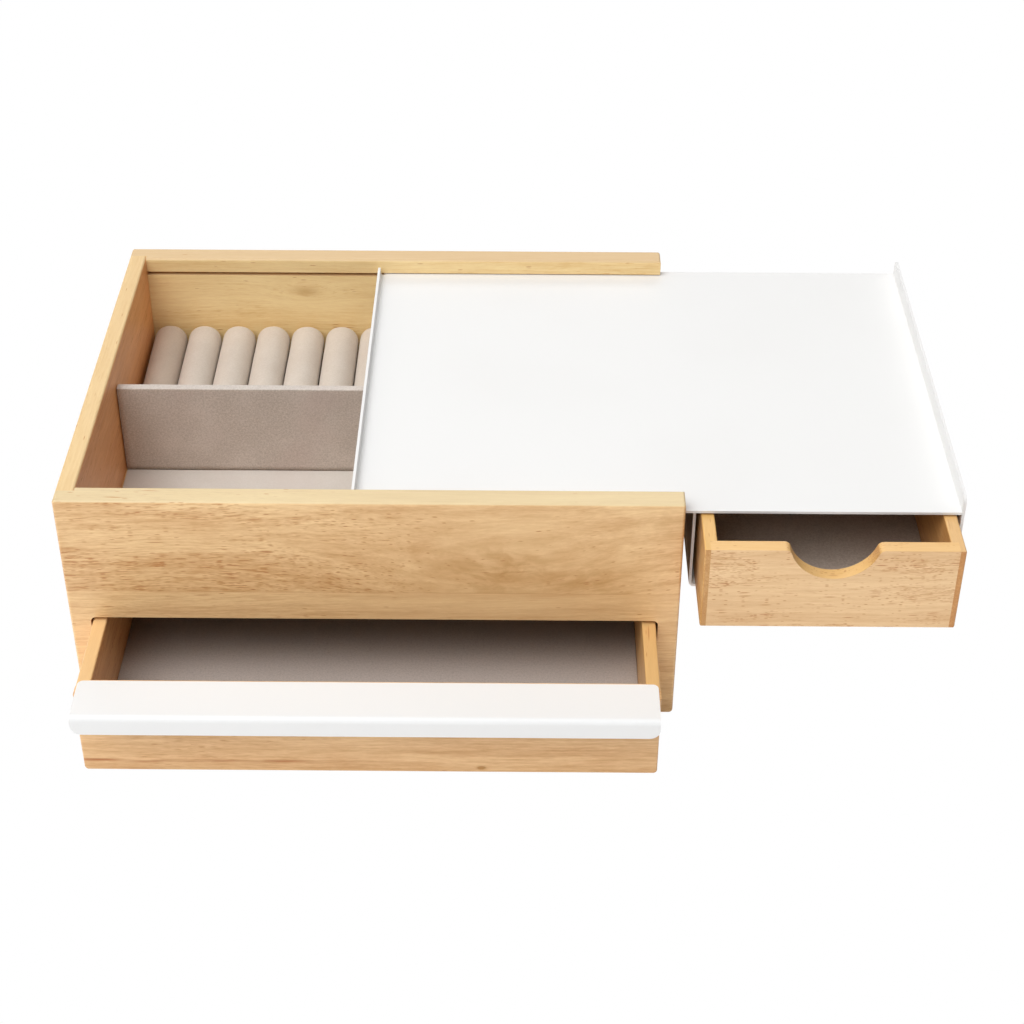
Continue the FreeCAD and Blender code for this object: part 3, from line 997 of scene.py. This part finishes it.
@dataclass
class BoardCover:
    """Felt wrapped over a thin upright board: up one face, over the rounded top and down the other.

    The section is two straight legs joined by two quarter circles and a flat top, and it is carried along
    the board's length. The outer face bulges by a slow wave.
    """

    node: str
    core: str
    finish: Suede
    along_x: bool = True
    corner: float = 0.5 * MM
    inner_corner: float = 0.05 * MM
    wave: float = 0.12 * MM
    step: float = 3.0 * MM
    leg_points: int = 16
    turn_points: int = 7
    seed: float = 0.0

    def section(self, half: float, top: float, base: float, corner: float) -> np.ndarray:
        """Points (across, up) from the foot of one leg over the top to the foot of the other.

        Args:
            half: half the thickness.
            top: the height of the fold.
            base: the height of the feet.
            corner: the radius at the fold.

        Returns:
            The points, one row each.
        """
        leg = np.linspace(base, top - corner, self.leg_points)
        turn = np.linspace(0, math.pi / 2, self.turn_points)[1:]
        one_side = np.concatenate([
            np.stack([np.full_like(leg, half), leg], -1),
            np.stack([half - corner + corner * np.cos(turn), top - corner + corner * np.sin(turn)], -1),
        ])
        return np.concatenate([one_side, one_side[::-1] * (-1, 1)])

    def build(self) -> None:
        low, high = node_box(self.node)
        core_low, core_high = node_box(self.core)
        run, cross = (0, 1) if self.along_x else (1, 0)
        half = (high - low)[cross] / 2
        outer = self.section(half, high[2], low[2], self.corner)
        inner = self.section((core_high - core_low)[cross] / 2, core_high[2], low[2], self.inner_corner)
        length = np.linspace(low[run], high[run], int((high - low)[run] / self.step))
        middle = (low[cross] + high[cross]) / 2
        strip = self.carried(outer, length, middle, self.wave)
        back = self.carried(inner, length, middle, 0.0)
        numbers = np.arange(len(strip)).reshape(len(length), len(outer))
        face = quads(numbers)
        rims = (numbers[0], numbers[-1], numbers[:, 0], numbers[:, -1])
        edges = [quads(np.stack([rim, rim + len(strip)])) for rim in rims]
        faces = np.concatenate([face, face[:, ::-1] + len(strip), *edges])
        name = self.node + "_cover"
        piece = make_piece(name, np.concatenate([strip, back]), faces, self.finish.material(name + "_suede"))
        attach(piece, "case")
        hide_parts(self.node)

    def carried(self, section: np.ndarray, length: np.ndarray, middle: float, wave: float) -> np.ndarray:
        """The section at each step of the length, drawn in by up to two waves' depths.

        Args:
            section: the section's points.
            length: places along the board.
            middle: the board's middle, across it.
            wave: how deep the wave is.

        Returns:
            The points of the whole face, one row each.
        """
        along = np.broadcast_to(length[:, None], (len(length), len(section)))
        up = np.broadcast_to(section[None, :, 1], along.shape)
        across = np.broadcast_to(section[None, :, 0], along.shape)
        across = middle + across + wave * (swell_wave(along, up, self.seed) - 1) * np.sign(across)
        places = (along, across, up) if self.along_x else (across, along, up)
        return np.stack(places, -1).reshape(-1, 3)


@dataclass
class Swelling:
    """A short cloth simulation that fills closed covers with air, with every point's travel capped."""

    pressure: float = 2.5
    frames: int = 12
    quality: int = 6
    mass: float = 0.15
    cap: float = 0.25 * MM

    def run(self, pieces: list[bpy.types.Object]) -> None:
        """Swells the pieces together and writes the capped shapes into their meshes.

        Args:
            pieces: the covers, with no modifiers yet.
        """
        scene = bpy.context.scene
        for piece in pieces:
            cloth = piece.modifiers.new("swelling", "CLOTH")
            settings = cloth.settings
            settings.use_pressure = True
            settings.uniform_pressure_force = self.pressure
            settings.effector_weights.gravity = 0.0
            settings.quality = self.quality
            settings.mass = self.mass
            cloth.point_cache.frame_end = self.frames
        for number in range(1, self.frames + 1):
            scene.frame_set(number)
        graph = bpy.context.evaluated_depsgraph_get()
        shapes = [self.points_of(piece.evaluated_get(graph).data) for piece in pieces]
        for piece, swollen in zip(pieces, shapes):
            rest = self.points_of(piece.data)
            travel = swollen - rest
            far = np.linalg.norm(travel, axis=1, keepdims=True)
            capped = rest + travel * np.minimum(1.0, self.cap / np.maximum(far, TINY))
            piece.modifiers.remove(piece.modifiers["swelling"])
            piece.data.vertices.foreach_set("co", capped.astype(np.float32).ravel())
            piece.data.update()
        scene.frame_set(1)

    @staticmethod
    def points_of(mesh: bpy.types.Mesh) -> np.ndarray:
        """A mesh's vertex places, one row each.

        Args:
            mesh: the mesh.

        Returns:
            The places as an array of numbers.
        """
        flat = np.zeros(len(mesh.vertices) * 3, np.float32)
        mesh.vertices.foreach_get("co", flat)
        return flat.reshape(-1, 3).astype(float)


# ---- sub-assemblies ----
@dataclass
class WoodCase:
    """The case: two grooved boards, two walls, the base and the floor between the levels."""

    boards: dict[str, Rubberwood] = field(default_factory=lambda: {
        "front_board": Rubberwood(
            seed=3.2, pith=(0.0, -40.0, 118.0), ring_width=6.5, tilt=(0.03, 0.02), dash_amount=0.5,
            pore_amount=0.7, pore_length=0.8, lower_calm=0.93, lower_lift=0.08, pore_limit=30.0,
            seam_height=69.8, knot=(60.0, -109.0, 81.0), knot_radius=16.0, smudge=0.82, top_highlight=1.0,
            light=(0.96, 0.67, 0.345)),
        "back_board": Rubberwood(
            seed=7.9, pith=(0.0, 20.0, 60.0), ring_width=7.0, dash_amount=0.35, pore_amount=0.05,
            seam_height=52.0, knot=(-46.5, 99.0, 99.5), knot_radius=3.8, smudge=0.6, top_highlight=1.0,
            light=(0.94, 0.65, 0.33), dark=(0.77, 0.46, 0.185), upper=(0.66, 0.47, 0.25),
            # Painted light: the inner tint lightens the board's inner face.
            inner=(1.065, 1.19, 1.22), painted_light_way=(0.0, -1.0, 0.0)),
        "left_wall": Rubberwood(
            grain=Grain.ALONG_Y, seed=1.4, pith=(0.0, 190.0, 40.0), pore_amount=0.15, top_highlight=0.8,
            light=(0.94, 0.635, 0.32), dark=(0.70, 0.37, 0.135), upper=(0.76, 0.575, 0.28),
            # Painted shade: the inner tint darkens and reddens the wall's inner face.
            inner=(0.94, 0.66, 0.48), painted_light_way=(1.0, 0.0, 0.0)),
        "right_wall": Rubberwood(grain=Grain.ALONG_Y, seed=5.5, pith=(0.0, -70.0, 20.0)),
        "base_board": Rubberwood(seed=9.1, pith=(0.0, 20.0, -60.0)),
        "compartment_floor": Rubberwood(seed=11.6, pith=(0.0, 40.0, -30.0)),
    })

    def build(self) -> None:
        """Dresses the boards."""
        dress_boards(self.boards)


@dataclass
class RingCompartment:
    """The felt-lined insert: floor lining, divider, partition, and the row of soft ring rolls."""

    lining: Suede = Suede(
        base=(0.63, 0.575, 0.515), brushed=(0.71, 0.66, 0.605), blush=(0.66, 0.575, 0.525), mottle=0.6)
    # A darker copy of the floor lining's felt: painted shade on the upright faces of the divider and
    # partition, with a painted highlight on their tops.
    cover: Suede = Suede(
        base=(0.43, 0.365, 0.31), brushed=(0.62, 0.545, 0.485), blush=(0.56, 0.43, 0.39), top_painted_light=0.6)
    roll_finish: Suede = Suede(
        base=(0.62, 0.54, 0.46), brushed=(0.735, 0.665, 0.59), blush=(0.69, 0.585, 0.50), mottle=0.5,
        sheen=0.25)
    shaded_finish: Suede = Suede(
        base=(0.54, 0.44, 0.355), brushed=(0.645, 0.54, 0.445), blush=(0.60, 0.48, 0.39), mottle=0.5,
        sheen=0.2)
    core_board: Rubberwood = Rubberwood(
        light=(0.5, 0.36, 0.22), dark=(0.36, 0.24, 0.13), pore_amount=0.1)
    roll_count: int = 8
    dome: float = 4.2 * MM
    dome_power: float = 2.1
    end_crowding: float = 1.6
    lean: float = 1.6 * MM
    section_power: float = 2.12
    flat_share: float = 0.80
    flat_squash: float = 0.4
    unevenness: float = 0.10 * MM
    wave_radius: float = 9.0 * MM
    wave_stretch: float = 0.7
    seed_step: float = 1.3
    pucker: float = 0.10 * MM
    pucker_count: int = 11
    pucker_reach: float = 2.5 * MM
    rows: int = 56
    columns: int = 40
    draw_in: float = 0.18 * MM
    swelling: Swelling = field(default_factory=Swelling)

    def build(self) -> None:
        """Makes the insert's soft pieces and dresses its boards."""
        Lining("compartment_felt", "case", "compartment_floor", self.lining, seed=0.4).build()
        BoardCover("divider_felt", "divider_core", self.cover, seed=0.9).build()
        BoardCover("partition_felt", "partition_core", self.cover, along_x=False, seed=2.2).build()
        for name in ("divider_core", "partition_core", "roll_base"):
            dress_node(name, self.core_board.material("board_" + name))
        suedes = [self.shaded_finish.material("ring_roll_suede_shaded")]
        suedes += [self.roll_finish.material("ring_roll_suede")] * (self.roll_count - 1)
        rolls = [self.roll(index, suede) for index, suede in enumerate(suedes, 1)]
        self.swelling.run(rolls)
        for index, roll in enumerate(rolls, 1):
            rounding = roll.modifiers.new("rounding", "SUBSURF")
            rounding.levels = 1
            rounding.render_levels = 1
            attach(roll, "case")
            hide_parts(f"ring_roll_{index}")

    def roll(self, index: int, suede: bpy.types.Material) -> bpy.types.Object:
        """One roll: a superellipse section carried along Y between two domed ends, flattened underneath.

        The first rolls' front ends lean away from the wall, by an amount that falls off along the row.

        Args:
            index: the roll's number, from the left.
            suede: its finish.

        Returns:
            The closed mesh, drawn in a little from its CAD solid so that it may swell.
        """
        low, high = node_box(f"ring_roll_{index}")
        centre = (low + high) / 2
        radius, half = (high - low)[:2] / 2 - self.draw_in
        share = np.linspace(-1, 1, self.rows)
        along = half * np.sign(share) * (1 - (1 - np.abs(share)) ** self.end_crowding)
        to_end = np.clip((half - np.abs(along)) / self.dome, 0, 1)
        swell = (1 - (1 - to_end) ** self.dome_power) ** (1 / self.dome_power)
        angle = np.linspace(0, 2 * math.pi, self.columns, endpoint=False)
        power = 2 / self.section_power
        across, up = (np.sign(side) * np.abs(side) ** power for side in (np.cos(angle), np.sin(angle)))
        up = np.where(up < -self.flat_share, self.flat_squash * (up + self.flat_share) - self.flat_share, up)
        y = np.broadcast_to(along[:, None], (self.rows, self.columns))
        turn = np.broadcast_to(angle[None, :], y.shape)
        wave = swell_wave(y * self.wave_stretch, turn * self.wave_radius, self.seed_step * index)
        near_end = np.exp(-(((half - np.abs(y)) / self.pucker_reach) ** 2))
        folds = self.pucker * np.sin(turn * self.pucker_count + index) * near_end
        reach = (radius + self.unevenness * (wave - 1) + folds) * swell[:, None]
        x = centre[0] + reach * across
        past_wall = (x - node_box("ring_roll_1")[0][0]) / (2 * radius)
        x = x + self.lean * np.exp(-past_wall) * (1 - y / half) / 2
        points = np.stack([x, centre[1] + y, centre[2] + reach * up], -1)
        numbers = np.arange(x.size).reshape(x.shape)
        faces = quads(np.concatenate([numbers, numbers[:, :1]], 1))
        return make_piece(f"roll_cover_{index}", points.reshape(-1, 3), faces, suede)


@dataclass
class SlidingLid:
    """The bent white lid and the cradle under its end."""

    paint: PowderCoat = PowderCoat()
    left_sheet: float = 12.0

    def build(self) -> None:
        """Paints the plate and the cradle, whose left sheet takes painted shade on its left face."""
        dress_node("lid_plate", self.paint.material("white_powder_lid"))
        edge = node_box("cradle")[0][0] / MM + self.left_sheet
        dress_node("cradle", replace(self.paint, bare_until=edge).material("white_powder_cradle"))


@dataclass
class SideDrawer:
    """The wooden drawer in the cradle, with its finger notch and its lining."""

    boards: dict[str, Rubberwood] = field(default_factory=lambda: {
        "side_drawer_front": Rubberwood(
            seed=12.7, pith=(150.0, -60.0, 30.0), ring_width=9.0, ring_contrast=0.1, fibre_contrast=0.6,
            dash_amount=0.5, pore_amount=1.2, pore_length=0.5, top_highlight=0.8, light=(0.90, 0.62, 0.335),
            dark=(0.61, 0.32, 0.12), upper=(0.84, 0.50, 0.15)),
        "side_drawer_left": Rubberwood(
            grain=Grain.ALONG_Y, seed=14.1, pith=(0.0, -220.0, 60.0), top_highlight=0.9, light=(0.80, 0.50, 0.21),
            dark=(0.57, 0.28, 0.08), upper=(0.84, 0.51, 0.16)),
        "side_drawer_right": Rubberwood(
            grain=Grain.ALONG_Y, seed=15.8, pith=(0.0, -180.0, 90.0), top_highlight=0.9, light=(0.80, 0.42, 0.14),
            dark=(0.55, 0.24, 0.06), upper=(0.80, 0.52, 0.22)),
        "side_drawer_back": Rubberwood(seed=17.2, pith=(0.0, 10.0, 40.0)),
        "side_drawer_floor": Rubberwood(seed=18.4, pith=(0.0, 10.0, 0.0)),
    })
    lining: Suede = Suede(base=(0.39, 0.315, 0.26), brushed=(0.545, 0.46, 0.395), blush=(0.50, 0.375, 0.33))

    def build(self) -> None:
        """Dresses the boards and lays the lining."""
        dress_boards(self.boards)
        Lining("side_drawer_felt", "side_drawer", "side_drawer_floor", self.lining, seed=3.1).build()


@dataclass
class FrontDrawer:
    """The wide drawer under the rings, with its bent white pull and its lining."""

    boards: dict[str, Rubberwood] = field(default_factory=lambda: {
        "front_drawer_front": Rubberwood(
            seed=21.3, pith=(0.0, -120.0, 80.0), ring_width=8.0, ring_contrast=0.3, pore_amount=0.15,
            pore_limit=0.0, vein_height=15.6, vein_strength=1.7, knot=(48.5, -159.5, 12.5),
            knot_radius=0.85, smudge=4.0, light=(0.905, 0.595, 0.30)),
        "front_drawer_left": Rubberwood(
            grain=Grain.ALONG_Y, seed=22.9, pith=(0.0, 190.0, 30.0), top_highlight=0.9, dash_amount=0.5,
            pore_amount=0.6, light=(0.92, 0.53, 0.23), dark=(0.66, 0.30, 0.09), upper=(0.85, 0.60, 0.30)),
        "front_drawer_right": Rubberwood(
            grain=Grain.ALONG_Y, seed=24.6, pith=(0.0, -190.0, 30.0), top_highlight=0.9,
            light=(0.77, 0.47, 0.18), dark=(0.55, 0.27, 0.07), upper=(0.72, 0.465, 0.195)),
        "front_drawer_back": Rubberwood(seed=26.2, pith=(0.0, 30.0, 40.0)),
        "front_drawer_floor": Rubberwood(seed=27.7, pith=(0.0, 10.0, -30.0)),
    })
    # Painted shade: the base colours are far darker than the felt elsewhere, for the shade under the front
    # board; towards the front, painted light in the paler colour.
    lining: Suede = Suede(
        base=(0.18, 0.155, 0.138), brushed=(0.255, 0.225, 0.20), blush=(0.225, 0.18, 0.165),
        faded=(0.56, 0.49, 0.445), front_fade=0.85, front_reach=(-98.0, -67.0))
    paint: PowderCoat = PowderCoat(paint=(0.862, 0.87, 0.873), shade=(0.842, 0.848, 0.848))

    def build(self) -> None:
        """Dresses the boards, paints the pull and lays the lining."""
        dress_boards(self.boards)
        dress_node("drawer_pull", self.paint.material("white_powder_pull"))
        Lining("front_drawer_felt", "front_drawer", "front_drawer_floor", self.lining, seed=4.7).build()


# ---- studio ----
@dataclass(frozen=True)
class Softbox:
    """A rectangular soft light that faces a point of the object."""

    name: str
    place: Triple
    size: Pair
    glow: float
    tint: Triple = (1.0, 1.0, 1.0)
    aim: Triple = (0.05, 0.0, 0.06)

    def build(self) -> None:
        """Adds the light, with its power worked out from its area and glow."""
        data = bpy.data.lights.new(self.name, "AREA")
        data.shape = "RECTANGLE"
        data.size, data.size_y = self.size
        data.energy = self.glow * math.pi * self.size[0] * self.size[1]
        data.color = self.tint
        light = add_object(self.name, data)
        away = Vector(self.place) - Vector(self.aim)
        light.rotation_euler = away.to_track_quat("Z", "Y").to_euler()
        light.location = self.place


@dataclass
class Studio:
    """A pale floor, soft lights and the camera."""

    camera_place: Triple = (0.064682, -0.796753, 0.625014)
    camera_heading: float = 0.005361
    camera_dip: float = 0.638904
    camera_roll: float = -0.003602
    camera_lens: float = 70.692
    sensor: float = 36.0
    floor_half: float = 60.0
    floor_colour: Triple = (0.99, 0.99, 0.99)
    floor_roughness: float = 0.9
    surround: Triple = (1.0, 0.99, 0.98)
    surround_strength: float = 0.24
    softboxes: tuple[Softbox, ...] = (
        Softbox("key_front_left", (-1.05, -1.45, 3.0), (3.0, 3.0), 3.6),
        Softbox("top_panel", (0.2, 0.2, 3.2), (3.4, 3.4), 0.55),
        Softbox("left_panel", (-2.6, -0.3, 0.9), (3.0, 2.0), 0.9, (1.0, 0.985, 0.955)),
        Softbox("back_panel", (0.1, 1.9, 1.45), (2.6, 0.7), 1.8),
    )

    def build(self) -> None:
        """Adds the floor, the surround, the lights and the camera."""
        self.floor()
        self.world()
        for softbox in self.softboxes:
            softbox.build()
        self.camera()
        bpy.context.scene.view_settings.view_transform = "Standard"

    def floor(self) -> None:
        """One large plane at the height the box stands on, plain white to the camera."""
        mesh = bpy.data.meshes.new("studio_floor")
        corners = np.array([(-1, -1, 0), (1, -1, 0), (1, 1, 0), (-1, 1, 0)]) * self.floor_half
        mesh.from_pydata(corners.tolist(), [], [(0, 1, 2, 3)])
        material, wiring, shader = new_material("studio_floor")
        wiring.fill(shader, {"Base Color": self.floor_colour, "Roughness": self.floor_roughness})
        white = wiring.node("ShaderNodeEmission").outputs[0]
        seen = wiring.node("ShaderNodeLightPath").outputs["Is Camera Ray"]
        mixed = wiring.node("ShaderNodeMixShader", (seen, shader.outputs[0], white))
        wiring.put(material.node_tree.nodes["Material Output"].inputs["Surface"], mixed.outputs[0])
        mesh.materials.append(material)
        floor = add_object("studio_floor", mesh)

    def world(self) -> None:
        """An even pale surround."""
        world = bpy.data.worlds.new("studio_surround")
        world.use_nodes = True
        values = {"Color": self.surround, "Strength": self.surround_strength}
        Wiring(world.node_tree).fill(world.node_tree.nodes["Background"], values)
        bpy.context.scene.world = world

    def camera(self) -> None:
        """The camera, from its place, heading, dip below the horizon and roll."""
        data = bpy.data.cameras.new("camera")
        data.lens = self.camera_lens
        data.sensor_width = self.sensor
        camera = add_object("camera", data)
        turn = Matrix.Rotation(self.camera_heading, 4, "Z")
        turn = turn @ Matrix.Rotation(math.pi / 2 - self.camera_dip, 4, "X")
        turn = turn @ Matrix.Rotation(-self.camera_roll, 4, "Z")
        camera.matrix_world = Matrix.Translation(self.camera_place) @ turn
        bpy.context.scene.camera = camera


def main() -> None:
    """Builds the studio and every sub-assembly."""
    logging.basicConfig(level=logging.INFO, format="%(name)s: %(message)s")
    for part in (Studio(), WoodCase(), RingCompartment(), SlidingLid(), SideDrawer(), FrontDrawer()):
        part.build()
        log.info("finished %s", type(part).__name__)


if __name__ == "__main__":
    main()
